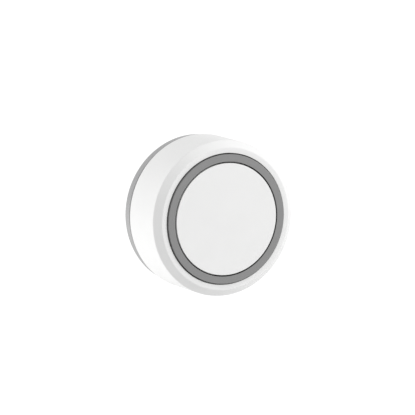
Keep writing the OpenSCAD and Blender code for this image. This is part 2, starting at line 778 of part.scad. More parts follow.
on_wall() mounting_plate();
on_wall() rear_cover();
on_wall() cover_seal();
on_wall() case_screws();
on_wall() battery_cover();
on_wall() battery_seal();
on_wall() coin_cell();
on_wall() battery_holder();
on_wall() negative_contact();
on_wall() positive_contact();
on_wall() circuit_board();
on_wall() transmitter_chip();
on_wall() crystal();
on_wall() capacitor();
on_wall() chip_resistors();
on_wall() antenna_wire();
on_wall() switch_body();
on_wall() switch_plate();
on_wall() switch_leads();
on_wall() switch_stem();
on_wall() ring_leds();
on_wall() light_frame();
on_wall() weather_mat();
on_wall() light_ring();
on_wall() push_button();
on_wall() front_housing();
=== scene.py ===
import math

import bmesh
import bpy
from mathutils import Matrix, Vector


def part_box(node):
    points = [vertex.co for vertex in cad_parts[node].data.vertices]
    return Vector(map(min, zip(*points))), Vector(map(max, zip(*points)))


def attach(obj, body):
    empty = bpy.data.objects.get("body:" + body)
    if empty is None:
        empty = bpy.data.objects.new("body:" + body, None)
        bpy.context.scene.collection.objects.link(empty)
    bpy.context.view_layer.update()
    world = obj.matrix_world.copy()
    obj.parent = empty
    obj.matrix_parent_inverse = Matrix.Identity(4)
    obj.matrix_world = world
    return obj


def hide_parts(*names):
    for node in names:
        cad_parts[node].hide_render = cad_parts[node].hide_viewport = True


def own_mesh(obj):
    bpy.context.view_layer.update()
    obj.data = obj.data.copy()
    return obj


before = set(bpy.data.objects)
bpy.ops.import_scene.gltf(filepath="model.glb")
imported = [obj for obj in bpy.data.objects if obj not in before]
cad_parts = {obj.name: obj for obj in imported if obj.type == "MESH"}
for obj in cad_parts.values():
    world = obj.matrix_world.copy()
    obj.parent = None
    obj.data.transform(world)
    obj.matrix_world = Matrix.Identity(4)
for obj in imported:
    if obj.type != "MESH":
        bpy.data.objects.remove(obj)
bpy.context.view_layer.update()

# Wall plate: a shallow dish of grey ABS that is screwed to the wall. It is injection moulded, with a
# plinth and a set-back rim that leave a shadow line behind the housing, hollows in its back, slots and
# seats for two screws, and three ledges with stops inside its rim for the twist lock.
MM = 0.001
OUT_OF_WALL = Vector((0, -1, 0))
TURN_STEPS = 180
ROUND_STEPS = 6
EASE_STEPS = 3
WELD = 0.0001 * MM
SLIVER = 0.002 * MM
SHARP = math.radians(35)
SORT_ALONG = Vector((1, 0.618, 0.2718))


def turned_by(bm, angle):
    """Turns a shape about the button's axis."""
    turn = Matrix.Rotation(math.radians(angle), 3, OUT_OF_WALL)
    bmesh.ops.rotate(bm, cent=(0, 0, 0), matrix=turn, verts=bm.verts)
    return bm


def put_in_order(bm):
    """Sorts points, edges and faces by place, because spins and extrusions order them anew on each run."""
    bm.verts.sort(key=lambda point: point.co.dot(SORT_ALONG))
    bm.edges.sort(key=lambda edge: (edge.verts[0].co + edge.verts[1].co).dot(SORT_ALONG))
    bm.faces.sort(key=lambda face: face.calc_center_median().dot(SORT_ALONG))
    return bm


def spun(bm, start=0.0, sweep=360.0, steps=TURN_STEPS):
    """Spins a section about the button's axis into a solid."""
    turned_by(bm, start)
    whole = sweep == 360
    bmesh.ops.spin(
        bm, geom=bm.verts[:] + bm.edges[:], cent=(0, 0, 0), axis=OUT_OF_WALL, angle=math.radians(sweep),
        steps=round(steps * sweep / 360), use_merge=whole
    )
    if not whole:
        bmesh.ops.holes_fill(bm, edges=bm.edges[:], sides=0)
    bmesh.ops.remove_doubles(bm, verts=bm.verts, dist=WELD)
    bmesh.ops.recalc_face_normals(bm, faces=bm.faces)
    return put_in_order(bm)


def lathed(corners, **spin):
    """A solid from the corners of its section, each a radius, a height over the wall and a rounding."""
    bm = bmesh.new()
    points = [bm.verts.new((radius, -height, 0)) for radius, height, _ in corners]
    on_axis = corners[0][0] == 0
    for pair in zip(points, points[1:] if on_axis else points[1:] + points[:1]):
        bm.edges.new(pair)
    for point, (_, _, rounding) in zip(points, corners):
        if rounding:
            before, after = [edge.other_vert(point).co - point.co for edge in point.link_edges]
            reach = rounding / math.tan(before.angle(after) / 2)
            bmesh.ops.bevel(
                bm, geom=[point], offset=reach, segments=ROUND_STEPS, profile=0.5, affect="VERTICES",
                material=-1
            )
    return spun(bm, **spin)


def sharp_edges(bm):
    """The edges where two faces meet at a clear angle."""
    return [edge for edge in bm.edges if len(edge.link_faces) == 2 and edge.calc_face_angle() > SHARP]


def ease(bm, edges, radius):
    """Gives edges the small radius that a mould leaves on them."""
    bmesh.ops.bevel(
        bm, geom=edges, offset=radius, segments=EASE_STEPS, profile=0.5, affect="EDGES", clamp_overlap=True,
        material=-1
    )
    bmesh.ops.remove_doubles(bm, verts=bm.verts, dist=WELD)


def slot_tool(middle_x, length, width, flare, heights):
    """A cutter with round ends, from outside through the face to its end. It narrows by the flare where it
    enters, so that it leaves an eased rim."""
    outside, face, end = heights
    half_length = length / 2 + flare
    half_width = width / 2 + flare
    inward = math.copysign(1, end - face)
    bm = bmesh.new()
    points = [
        bm.verts.new((middle_x + x * half_length, -outside, z * half_width))
        for x, z in ((-1, -1), (1, -1), (1, 1), (-1, 1))
    ]
    bm.faces.new(points)
    bmesh.ops.bevel(
        bm, geom=points, offset=half_width, segments=2 * ROUND_STEPS, profile=0.5, affect="VERTICES",
        material=-1
    )
    bmesh.ops.remove_doubles(bm, verts=bm.verts, dist=WELD)
    cap = bm.faces[:]
    mouth = cap
    for rise, shrink in ((face - outside, 0), (inward * flare, flare), (end - face - inward * flare, 0)):
        grown = bmesh.ops.extrude_face_region(bm, geom=mouth)["geom"]
        if mouth is not cap:
            bmesh.ops.delete(bm, geom=mouth, context="FACES_ONLY")
        mouth = [item for item in grown if isinstance(item, bmesh.types.BMFace)]
        rim = [item for item in grown if isinstance(item, bmesh.types.BMVert)]
        bmesh.ops.translate(bm, verts=rim, vec=OUT_OF_WALL * rise)
        run = half_length - half_width
        for point in rim:
            centre_x = middle_x + max(-run, min(run, point.co.x - middle_x))
            arm = Vector((point.co.x - centre_x, 0, point.co.z))
            point.co -= arm.normalized() * shrink
    bmesh.ops.recalc_face_normals(bm, faces=bm.faces)
    return put_in_order(bm)


def new_piece(name, bm):
    """An object from a bmesh, which is used up by it."""
    mesh = bpy.data.meshes.new(name)
    bm.to_mesh(mesh)
    bm.free()
    mesh.polygons.foreach_set("use_smooth", [True] * len(mesh.polygons))
    piece = bpy.data.objects.new(name, mesh)
    bpy.context.scene.collection.objects.link(piece)
    return piece


def combine(piece, operation, *tools):
    """Joins or cuts a piece with bmeshes that are used up by it, and merges the slivers that this leaves."""
    for tool in tools:
        tool_piece = new_piece("tool", tool)
        boolean = piece.modifiers.new("combine", "BOOLEAN")
        boolean.operation = operation
        boolean.solver = "EXACT"
        boolean.object = tool_piece
        shaped = piece.evaluated_get(bpy.context.evaluated_depsgraph_get())
        old_mesh = piece.data
        piece.data = bpy.data.meshes.new_from_object(shaped)
        piece.modifiers.clear()
        bpy.data.meshes.remove(old_mesh)
        bpy.data.meshes.remove(tool_piece.data)
    bm = bmesh.new()
    bm.from_mesh(piece.data)
    bmesh.ops.remove_doubles(bm, verts=bm.verts, dist=SLIVER)
    bm.to_mesh(piece.data)
    bm.free()


def dress(piece, materials, body, node):
    """Gives a piece its materials and shading, the body that it moves with and the node that it replaces."""
    for material in materials:
        piece.data.materials.append(material)
    piece.data.set_sharp_from_angle(angle=SHARP)
    piece.modifiers.new("flat_faces_stay_flat", "WEIGHTED_NORMAL").keep_sharp = True
    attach(piece, body)
    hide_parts(node)


def new_material(name):
    """A material with its shader and the Object coordinates that its patterns read."""
    material = bpy.data.materials.new(name)
    material.use_nodes = True
    nodes = material.node_tree.nodes
    return material, nodes["Principled BSDF"], nodes.new("ShaderNodeTexCoord").outputs["Object"]


def noise(material, place, size, detail=2.0):
    """A noise pattern of the given size in metres."""
    node = material.node_tree.nodes.new("ShaderNodeTexNoise")
    node.inputs["Scale"].default_value = 1 / size
    node.inputs["Detail"].default_value = detail
    material.node_tree.links.new(place, node.inputs["Vector"])
    return node.outputs["Fac"]


# Most of a noise pattern lies between these two.
PATTERN_LOW = 0.3
PATTERN_HIGH = 0.7


def between(material, factor, low, high, socket):
    """Spreads a pattern between two numbers on a socket."""
    node = material.node_tree.nodes.new("ShaderNodeMapRange")
    node.inputs["From Min"].default_value = PATTERN_LOW
    node.inputs["From Max"].default_value = PATTERN_HIGH
    node.inputs["To Min"].default_value = low
    node.inputs["To Max"].default_value = high
    material.node_tree.links.new(factor, node.inputs["Value"])
    material.node_tree.links.new(node.outputs["Result"], socket)


def shaded(material, factor, dark, light, socket):
    """Spreads a pattern between two colours on a socket."""
    node = material.node_tree.nodes.new("ShaderNodeValToRGB")
    node.color_ramp.elements[0].position = PATTERN_LOW
    node.color_ramp.elements[0].color = (*dark, 1)
    node.color_ramp.elements[1].position = PATTERN_HIGH
    node.color_ramp.elements[1].color = (*light, 1)
    material.node_tree.links.new(factor, node.inputs["Fac"])
    material.node_tree.links.new(node.outputs["Color"], socket)


def relief(material, factor, height, socket):
    """Raises the surface by a pattern."""
    node = material.node_tree.nodes.new("ShaderNodeBump")
    node.inputs["Strength"].default_value = 1.0
    node.inputs["Distance"].default_value = height
    material.node_tree.links.new(factor, node.inputs["Height"])
    material.node_tree.links.new(node.outputs["Normal"], socket)


PLASTIC_TINT = 0.985
PLASTIC_TINT_SIZE = 9 * MM
PLASTIC_GLOSS_DRIFT = 0.04
PLASTIC_GLOSS_SIZE = 3 * MM
PLASTIC_GRAIN = 0.22 * MM
PLASTIC_GRAIN_HEIGHT = 0.0015 * MM
PLASTIC_IOR = 1.53
FINE_DETAIL = 4


def moulded_plastic(name, colour, roughness, grain=PLASTIC_GRAIN):
    """Satin moulded plastic: a fine grain from the mould, and slow drifts of its colour and its gloss."""
    material, shader, place = new_material(name)
    tint = [PLASTIC_TINT * channel for channel in colour]
    drift = noise(material, place, PLASTIC_TINT_SIZE)
    shaded(material, drift, tint, colour, shader.inputs["Base Color"])
    gloss = noise(material, place, PLASTIC_GLOSS_SIZE, detail=FINE_DETAIL)
    low, high = roughness - PLASTIC_GLOSS_DRIFT, roughness + PLASTIC_GLOSS_DRIFT
    between(material, gloss, low, high, shader.inputs["Roughness"])
    relief(material, noise(material, place, grain), PLASTIC_GRAIN_HEIGHT, shader.inputs["Normal"])
    shader.inputs["IOR"].default_value = PLASTIC_IOR
    return material


plate_low, plate_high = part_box("mounting_plate")
PLINTH_R = plate_high.x
PLINTH_H = 4.6 * MM
PLINTH_ROUND = 2.1 * MM
PLATE_H = -plate_low.y
PLATE_FLOOR = 2.2 * MM
RIM_SET_IN = 0.7 * MM
RIM_T = 1.8 * MM
RIM_OUTER_R = PLINTH_R - RIM_SET_IN
RIM_R = RIM_OUTER_R - RIM_T
LEDGE_W = 1.4 * MM
LEDGE_T = 1.4 * MM
LEDGE_DROP = 0.1 * MM
LEDGE_R = RIM_R - LEDGE_W
LEDGE_TOP = PLATE_H - LEDGE_DROP
PLATE_ROUND = 0.3 * MM
HOLLOW_INNER_R = 10 * MM
HOLLOW_MARGIN = 0.5 * MM
HOLLOW_OUTER_R = LEDGE_R - HOLLOW_MARGIN
HOLLOW_DEPTH = 1 * MM
HOLLOW_SPAN = 24
HOLLOW_FIRST = 45
HOLLOW_STEP = 30
HOLLOWS_A_SIDE = 4
HOLLOW_MIDDLES = [
    half + HOLLOW_FIRST + HOLLOW_STEP * k for half in (0, 180) for k in range(HOLLOWS_A_SIDE)
]
DISH_START = 1
SCREW_X = 16 * MM
SLOT_L = 8 * MM
SLOT_W = 4 * MM
SEAT_L = 12.4 * MM
SEAT_W = 8.4 * MM
SEAT_DEPTH = 0.8 * MM
FOOT_ANGLES = (30, 150, 270)
LEDGE_SPAN = 28
STOP_SPAN = 3
STOP_OFFSET = 14.5
JOIN = 0.5 * MM
SET_BACK = 0.02 * MM
PLATE_EASE = 0.2 * MM
PLATE_GREY = (0.34, 0.34, 0.343)

# One step of the spin is 2 degrees, and it starts on an odd degree because the hollows end on them. Shapes
# that are joined overlap, and where they would end flush one is set back a little, because faces in one
# plane don't join cleanly.
dish = lathed(
    [
        (0, 0, 0), (HOLLOW_INNER_R, 0, 0), (HOLLOW_OUTER_R, 0, 0), (PLINTH_R, 0, PLINTH_ROUND),
        (PLINTH_R, PLINTH_H, PLATE_ROUND), (RIM_OUTER_R, PLINTH_H, 0), (RIM_OUTER_R, PLATE_H, PLATE_ROUND),
        (RIM_R, PLATE_H, PLATE_ROUND), (RIM_R, PLATE_FLOOR, 0), (0, PLATE_FLOOR, 0)
    ],
    start=DISH_START,
)
hollow_faces = []
for face in dish.faces:
    middle = face.calc_center_median()
    angle = math.degrees(math.atan2(middle.z, middle.x)) % 360
    in_span = any(abs(angle - hollow) < HOLLOW_SPAN / 2 for hollow in HOLLOW_MIDDLES)
    if middle.y > -WELD and HOLLOW_INNER_R < middle.xz.length < HOLLOW_OUTER_R and in_span:
        hollow_faces.append(face)
sunk = bmesh.ops.extrude_face_region(dish, geom=hollow_faces)["geom"]
bmesh.ops.delete(dish, geom=hollow_faces, context="FACES")
sunk_points = [item for item in sunk if isinstance(item, bmesh.types.BMVert)]
bmesh.ops.translate(dish, verts=sunk_points, vec=OUT_OF_WALL * HOLLOW_DEPTH)
hollow_edges = []
for edge in sharp_edges(put_in_order(dish)):
    height = max(-point.co.y for point in edge.verts)
    radius = max(point.co.xz.length for point in edge.verts)
    if height < HOLLOW_DEPTH + WELD and radius < HOLLOW_OUTER_R + WELD:
        hollow_edges.append(edge)
ease(dish, hollow_edges, PLATE_EASE)

wall_plate = new_piece("wall_plate", put_in_order(dish))
for middle in FOOT_ANGLES:
    ledge = lathed(
        [
            (LEDGE_R, LEDGE_TOP - LEDGE_T, 0), (RIM_R + JOIN, LEDGE_TOP - LEDGE_T, 0),
            (RIM_R + JOIN, LEDGE_TOP, 0), (LEDGE_R, LEDGE_TOP, 0)
        ],
        start=middle - LEDGE_SPAN / 2, sweep=LEDGE_SPAN,
    )
    stop_r = LEDGE_R + SET_BACK
    stop_end = LEDGE_TOP - LEDGE_T + JOIN
    stop = lathed(
        [
            (stop_r, PLATE_FLOOR - JOIN, 0), (RIM_R + JOIN, PLATE_FLOOR - JOIN, 0),
            (RIM_R + JOIN, stop_end, 0), (stop_r, stop_end, 0)
        ],
        start=middle - STOP_OFFSET - STOP_SPAN / 2, sweep=STOP_SPAN,
    )
    combine(wall_plate, "UNION", ledge, stop)
for side in (-1, 1):
    through = slot_tool(side * SCREW_X, SLOT_L, SLOT_W, PLATE_EASE, (-JOIN, 0, PLATE_FLOOR + JOIN))
    seat_heights = (PLATE_FLOOR + JOIN, PLATE_FLOOR, PLATE_FLOOR - SEAT_DEPTH)
    seat = slot_tool(side * SCREW_X, SEAT_L, SEAT_W, PLATE_EASE, seat_heights)
    combine(wall_plate, "DIFFERENCE", through, seat)
grey_abs = moulded_plastic("grey_abs", PLATE_GREY, roughness=0.42)
dress(wall_plate, [grey_abs], "wall_plate", "mounting_plate")

# Rear cover: the grey plate that closes the housing from behind. It is moulded in one with three feet
# for the twist lock, three pillars for the board, the battery port and the groove for its seal.
COVER_EASE = 0.12 * MM
FLAT = math.radians(0.3)


def eased_copy(node, radius):
    """A copy of a node whose triangles are joined into faces and whose sharp edges are eased."""
    bm = bmesh.new()
    bm.from_mesh(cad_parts[node].data)
    bmesh.ops.remove_doubles(bm, verts=bm.verts, dist=WELD)
    bmesh.ops.dissolve_limit(bm, angle_limit=FLAT, verts=bm.verts, edges=bm.edges)
    ease(bm, sharp_edges(bm), radius)
    return new_piece(node + "_eased", bm)


dress(eased_copy("rear_cover", COVER_EASE), [grey_abs], "housing", "rear_cover")

# Sealing rings: two O-rings of black nitrile rubber. One lies in the groove round the rear cover, the
# other under the edge of the battery cap, and both are squeezed when their cover is closed.
SECTION_STEPS = 32
NITRILE_BLACK = (0.03, 0.03, 0.03)
NITRILE_GRAIN = 0.12 * MM


def round_ring(radius, height, thickness):
    """A ring of round section about the button's axis."""
    bm = bmesh.new()
    bmesh.ops.create_circle(bm, segments=SECTION_STEPS, radius=thickness / 2)
    bmesh.ops.translate(bm, verts=bm.verts, vec=(radius, -height, 0))
    return spun(bm)


nitrile = moulded_plastic("nitrile_rubber", NITRILE_BLACK, roughness=0.6, grain=NITRILE_GRAIN)
for node, body in (("cover_seal", "housing"), ("battery_seal", "battery_cap")):
    seal_low, seal_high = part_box(node)
    seal_t = seal_high.y - seal_low.y
    seal = round_ring(seal_high.x - seal_t / 2, -(seal_low.y + seal_high.y) / 2, seal_t)
    dress(new_piece(node + "_ring", seal), [nitrile], body, node)

# Case screws: three self-tapping screws of nickel-plated steel with pan heads and cross recesses. Their
# threads are rolled, and they are driven from behind into the bosses of the housing.
screws_low, screws_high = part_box("case_screws")
SCREW_HEAD_R = 2 * MM
SCREW_HEAD_H = 1.1 * MM
SCREW_HEAD_EASE = 0.1 * MM
SCREW_HEAD_Z = -screws_high.y
SCREW_TIP_Z = -screws_low.y
SCREW_CIRCLE_R = screws_high.z - SCREW_HEAD_R
SCREWS = 3
SCREW_FIRST_ANGLE = 90
CORE_R = 0.8 * MM
THREAD_R = 1.1 * MM
THREAD_FOOT_R = CORE_R - THREAD_R / 4
PITCH = 0.8 * MM
RECESS_L = 2.2 * MM
RECESS_W = 0.55 * MM
SMALL_STEPS = 48
NICKEL = (0.6, 0.6, 0.58)


def block(low, high):
    """A block between two corners, each given across, up and as a height over the wall."""
    bm = bmesh.new()
    bmesh.ops.create_cube(bm, size=1)
    size = [abs(b - a) for a, b in zip(low, high)]
    middle = [(a + b) / 2 for a, b in zip(low, high)]
    bmesh.ops.scale(bm, verts=bm.verts, vec=(size[0], size[2], size[1]))
    bmesh.ops.translate(bm, verts=bm.verts, vec=(middle[0], -middle[2], middle[1]))
    return bm


def at_screws(bm, radius):
    """Moves a shape from the axis out to a radius, at the top and at the other screws' places."""
    bmesh.ops.translate(bm, verts=bm.verts, vec=(radius, 0, 0))
    turned_by(bm, SCREW_FIRST_ANGLE)
    bmesh.ops.spin(
        bm, geom=bm.verts[:] + bm.edges[:] + bm.faces[:], cent=(0, 0, 0), axis=OUT_OF_WALL,
        angle=math.radians(360 - 360 / SCREWS), steps=SCREWS - 1, use_duplicate=True
    )
    return bm


def thread(z0, z1):
    """A ridge that winds round the axis from one height to another, with its foot inside the core."""
    turns = int((z1 - z0) / PITCH)
    section = ((THREAD_FOOT_R, z0), (THREAD_R, z0 + PITCH / 4), (THREAD_FOOT_R, z0 + PITCH / 2))
    bm = bmesh.new()
    points = [bm.verts.new((radius, -height, 0)) for radius, height in section]
    for pair in zip(points, points[1:] + points[:1]):
        bm.edges.new(pair)
    bmesh.ops.spin(
        bm, geom=bm.verts[:] + bm.edges[:], cent=(0, 0, 0), axis=OUT_OF_WALL,
        angle=math.radians(360 * turns), dvec=OUT_OF_WALL * PITCH / SMALL_STEPS, steps=SMALL_STEPS * turns
    )
    bmesh.ops.holes_fill(bm, edges=bm.edges[:], sides=0)
    bmesh.ops.recalc_face_normals(bm, faces=bm.faces)
    return bm


METAL_TINT = 0.9
METAL_TINT_SIZE = 1.5 * MM
METAL_GLOSS_DRIFT = 0.06
METAL_GLOSS_SIZE = 0.4 * MM
METAL_GRAIN = 0.08 * MM
METAL_GRAIN_HEIGHT = 0.0006 * MM


def plated_metal(name, colour, roughness):
    """Plated metal: bright, with a fine grain, a tint that varies and a gloss that drifts."""
    material, shader, place = new_material(name)
    shader.inputs["Metallic"].default_value = 1.0
    tint = [METAL_TINT * channel for channel in colour]
    drift = noise(material, place, METAL_TINT_SIZE, detail=FINE_DETAIL)
    shaded(material, drift, tint, colour, shader.inputs["Base Color"])
    gloss = noise(material, place, METAL_GLOSS_SIZE, detail=FINE_DETAIL)
    low, high = roughness - METAL_GLOSS_DRIFT, roughness + METAL_GLOSS_DRIFT
    between(material, gloss, low, high, shader.inputs["Roughness"])
    relief(material, noise(material, place, METAL_GRAIN), METAL_GRAIN_HEIGHT, shader.inputs["Normal"])
    return material


head_end = SCREW_HEAD_Z + SCREW_HEAD_H
cone_start = SCREW_TIP_Z - THREAD_R
screws = new_piece("screws", lathed(
    [
        (0, SCREW_HEAD_Z, 0), (SCREW_HEAD_R, SCREW_HEAD_Z, SCREW_HEAD_H / 2),
        (SCREW_HEAD_R, head_end, SCREW_HEAD_EASE), (CORE_R, head_end, 0), (CORE_R, cone_start, 0),
        (0, SCREW_TIP_Z, 0)
    ],
    steps=SMALL_STEPS,
))
combine(screws, "UNION", thread(head_end, cone_start))
recess_end = SCREW_HEAD_Z + SCREW_HEAD_H / 2
for across, along in ((RECESS_L, RECESS_W), (RECESS_W, RECESS_L)):
    recess = block((-across / 2, -along / 2, SCREW_HEAD_Z - JOIN), (across / 2, along / 2, recess_end))
    combine(screws, "DIFFERENCE", recess)
all_screws = bmesh.new()
all_screws.from_mesh(screws.data)
at_screws(all_screws, SCREW_CIRCLE_R).to_mesh(screws.data)
all_screws.free()
nickel_steel = plated_metal("nickel_steel", NICKEL, roughness=0.3)
dress(screws, [nickel_steel], "housing", "case_screws")

# Battery cap: a round grey cap of moulded ABS that is turned into the battery port with a coin. Two lugs
# on its collar catch behind the cover, and the groove under its edge holds the seal.
cap_low, cap_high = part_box("battery_cover")
CAP_R = cap_high.x
CAP_Z0 = -cap_high.y
CAP_T = 1.6 * MM
CAP_Z1 = CAP_Z0 + CAP_T
COLLAR_END = -cap_low.y
COLLAR_R = 11.3 * MM
COLLAR_WALL = 1.2 * MM
LUG_W = 1 * MM
LUG_R = COLLAR_R + LUG_W
LUG_T = 0.9 * MM
LUG_SPAN = 28
CAP_GROOVE_GAP = 0.05 * MM
CAP_GROOVE_R = seal_high.x + CAP_GROOVE_GAP
CAP_GROOVE_W = seal_t + 2 * CAP_GROOVE_GAP
CAP_GROOVE_Z = -seal_high.y - CAP_GROOVE_GAP
COIN_SLOT_L = 16 * MM
COIN_SLOT_W = 1.8 * MM
COIN_SLOT_DEPTH = 0.8 * MM
CAP_ROUND = 0.3 * MM
CAP_EASE = 0.1 * MM

cap = new_piece("battery_cap", lathed([
    (0, CAP_Z0, 0), (CAP_R, CAP_Z0, CAP_ROUND), (CAP_R, CAP_Z1, CAP_EASE), (CAP_GROOVE_R, CAP_Z1, CAP_EASE),
    (CAP_GROOVE_R, CAP_GROOVE_Z, 0), (CAP_GROOVE_R - CAP_GROOVE_W, CAP_GROOVE_Z, 0),
    (CAP_GROOVE_R - CAP_GROOVE_W, CAP_Z1, CAP_EASE), (COLLAR_R, CAP_Z1, 0), (COLLAR_R, COLLAR_END, CAP_EASE),
    (COLLAR_R - COLLAR_WALL, COLLAR_END, CAP_EASE), (COLLAR_R - COLLAR_WALL, CAP_Z1, 0), (0, CAP_Z1, 0)
]))
lug_end = COLLAR_END - SET_BACK
for side in (0, 180):
    lug = lathed(
        [
            (COLLAR_R - JOIN, COLLAR_END - LUG_T, 0), (LUG_R, COLLAR_END - LUG_T, CAP_EASE),
            (LUG_R, lug_end, CAP_EASE), (COLLAR_R - JOIN, lug_end, 0)
        ],
        start=side - LUG_SPAN / 2, sweep=LUG_SPAN,
    )
    combine(cap, "UNION", lug)
coin_slot_heights = (CAP_Z0 - JOIN, CAP_Z0, CAP_Z0 + COIN_SLOT_DEPTH)
combine(cap, "DIFFERENCE", slot_tool(0, COIN_SLOT_L, COIN_SLOT_W, CAP_EASE, coin_slot_heights))
dress(cap, [grey_abs], "battery_cap", "battery_cover")

# Coin cell: a lithium cell whose wide positive can is drawn from nickel-plated steel and rolled over a
# black gasket, with the raised negative face inside it. It lies in the holder under the cap.
cell_low, cell_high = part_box("coin_cell")
CELL_R = cell_high.x
CELL_Z0 = -cell_high.y
CELL_Z1 = -cell_low.y
CELL_STEP = 0.4 * MM
CAN_Z1 = CELL_Z1 - CELL_STEP
GASKET_R = CELL_R - 2 * CELL_STEP
NEGATIVE_R = CELL_R - 3 * CELL_STEP
CELL_EDGE = 0.15 * MM

cell = new_piece("lithium_cell", lathed([
    (0, CELL_Z0, 0), (CELL_R, CELL_Z0, CELL_STEP), (CELL_R, CAN_Z1, CELL_EDGE), (GASKET_R, CAN_Z1, 0),
    (NEGATIVE_R, CAN_Z1, 0), (NEGATIVE_R, CELL_Z1, CELL_EDGE), (0, CELL_Z1, 0)
]))
for face in cell.data.polygons:
    if NEGATIVE_R < face.center.xz.length < GASKET_R and face.center.y < -CELL_Z0 - CELL_STEP:
        face.material_index = 1
dress(cell, [nickel_steel, nitrile], "housing", "coin_cell")

# Battery holder: an open ring of black moulded plastic under the board. Three lips keep the cell in it,
# and a window in its wall lets the side contact reach the cell's edge.
holder_low, holder_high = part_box("battery_holder")
HOLDER_R = holder_high.x
HOLDER_WALL = 1.6 * MM
HOLDER_Z0 = -holder_high.y
HOLDER_Z1 = -holder_low.y
HOLDER_ROUND = 0.15 * MM
HOLDER_LIP_REACH = 0.7 * MM
HOLDER_LIP_R = CELL_R - HOLDER_LIP_REACH
HOLDER_LIP_T = 0.4 * MM
HOLDER_LIP_SPAN = 24
WINDOW_W = 4.4 * MM
WINDOW_RISE = 0.8 * MM
WINDOW_Z0 = CELL_Z0 + WINDOW_RISE
PLASTIC_BLACK = (0.02, 0.02, 0.022)
BLACK_GRAIN = 0.1 * MM

inner_r = HOLDER_R - HOLDER_WALL
holder = new_piece("cell_holder", lathed([
    (inner_r, HOLDER_Z0, HOLDER_ROUND), (HOLDER_R, HOLDER_Z0, HOLDER_ROUND),
    (HOLDER_R, HOLDER_Z1, HOLDER_ROUND), (inner_r, HOLDER_Z1, HOLDER_ROUND)
]))
lip_start = HOLDER_Z0 + SET_BACK
lip_end = HOLDER_Z0 + HOLDER_LIP_T
for middle in FOOT_ANGLES:
    lip = lathed(
        [
            (HOLDER_LIP_R, lip_start, HOLDER_ROUND), (inner_r + JOIN, lip_start, 0),
            (inner_r + JOIN, lip_end, 0), (HOLDER_LIP_R, lip_end, HOLDER_ROUND)
        ],
        start=middle - HOLDER_LIP_SPAN / 2, sweep=HOLDER_LIP_SPAN,
    )
    combine(holder, "UNION", lip)
window = block((-WINDOW_W / 2, inner_r - JOIN, WINDOW_Z0), (WINDOW_W / 2, HOLDER_R + JOIN, HOLDER_Z1 + JOIN))
combine(holder, "DIFFERENCE", window)
black_plastic = moulded_plastic("black_plastic", PLASTIC_BLACK, roughness=0.5, grain=BLACK_GRAIN)
dress(holder, [black_plastic], "housing", "battery_holder")

# Battery contacts: two strips of plated brass, blanked and bent. The bowed one presses on the cell's
# negative face, and the angled one stands in the holder's window against the cell's edge.
CONTACT_EASE = 0.04 * MM
BRASS = (0.75, 0.56, 0.24)

brass = plated_metal("plated_brass", BRASS, roughness=0.28)
for node in ("negative_contact", "positive_contact"):
    dress(eased_copy(node, CONTACT_EASE), [brass], "housing", node)

# Circuit board: a round of glass-epoxy laminate, routed out round the screw bosses. Green lacquer covers
# its copper tracks, and the bare laminate shows at its edge.
BOARD_EASE = 0.06 * MM
LACQUER_GREEN = (0.012, 0.13, 0.045)
TRACK_GREEN = (0.03, 0.24, 0.09)
TRACK_GRID = 4.2 * MM
TRACK_SHARE = 0.06
TRACK_HEIGHT = 0.02 * MM
LACQUER_ROUGHNESS = (0.28, 0.36)
LACQUER_DRIFT = 2 * MM
LAMINATE = (0.36, 0.33, 0.16)
LAMINATE_GRAIN = 0.1 * MM
SIDE_FACE_LIMIT = 0.5


def lacquered_copper(name):
    """Green lacquer over copper tracks, which are paler and raised and run straight and at 45 degrees."""
    material, shader, place = new_material(name)
    nodes = material.node_tree.nodes
    links = material.node_tree.links
    on_face = nodes.new("ShaderNodeMapping")
    on_face.inputs["Rotation"].default_value = (math.radians(90), 0, 0)
    links.new(place, on_face.inputs["Vector"])
    distances = []
    for feature in ("F2", "F1"):
        cells = nodes.new("ShaderNodeTexVoronoi")
        cells.voronoi_dimensions = "2D"
        cells.distance = "CHEBYCHEV"
        cells.feature = feature
        cells.inputs["Scale"].default_value = 1 / TRACK_GRID
        links.new(on_face.outputs["Vector"], cells.inputs["Vector"])
        distances.append(cells.outputs["Distance"])
    from_border = nodes.new("ShaderNodeMath")
    from_border.operation = "SUBTRACT"
    for distance, socket in zip(distances, from_border.inputs):
        links.new(distance, socket)
    tracks = nodes.new("ShaderNodeMath")
    tracks.operation = "LESS_THAN"
    tracks.inputs[1].default_value = TRACK_SHARE
    links.new(from_border.outputs[0], tracks.inputs[0])
    shaded(material, tracks.outputs[0], LACQUER_GREEN, TRACK_GREEN, shader.inputs["Base Color"])
    between(material, noise(material, place, LACQUER_DRIFT), *LACQUER_ROUGHNESS, shader.inputs["Roughness"])
    relief(material, tracks.outputs[0], TRACK_HEIGHT, shader.inputs["Normal"])
    return material


board = eased_copy("circuit_board", BOARD_EASE)
for face in board.data.polygons:
    if abs(face.normal.y) < SIDE_FACE_LIMIT:
        face.material_index = 1
laminate = moulded_plastic("glass_epoxy", LAMINATE, roughness=0.6, grain=LAMINATE_GRAIN)
dress(board, [lacquered_copper("green_lacquer"), laminate], "housing", "circuit_board")

# Transmitter: a black chip with a dimple at its first corner and a row of tinned pads along the foot of
# each side, and beside it the crystal in its nickel can. Both are soldered flat on the board.
chip_low, chip_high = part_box("transmitter_chip")
CHIP_EASE = 0.06 * MM
PAD_PITCH = 0.8 * MM
PAD_W = 0.4 * MM
PAD_H = 0.25 * MM
LAST_PAD = 2
CRYSTAL_EASE = 0.08 * MM
TIN = (0.66, 0.66, 0.64)
ACROSS = Vector((1, 0, 0))
UP = Vector((0, 0, 1))


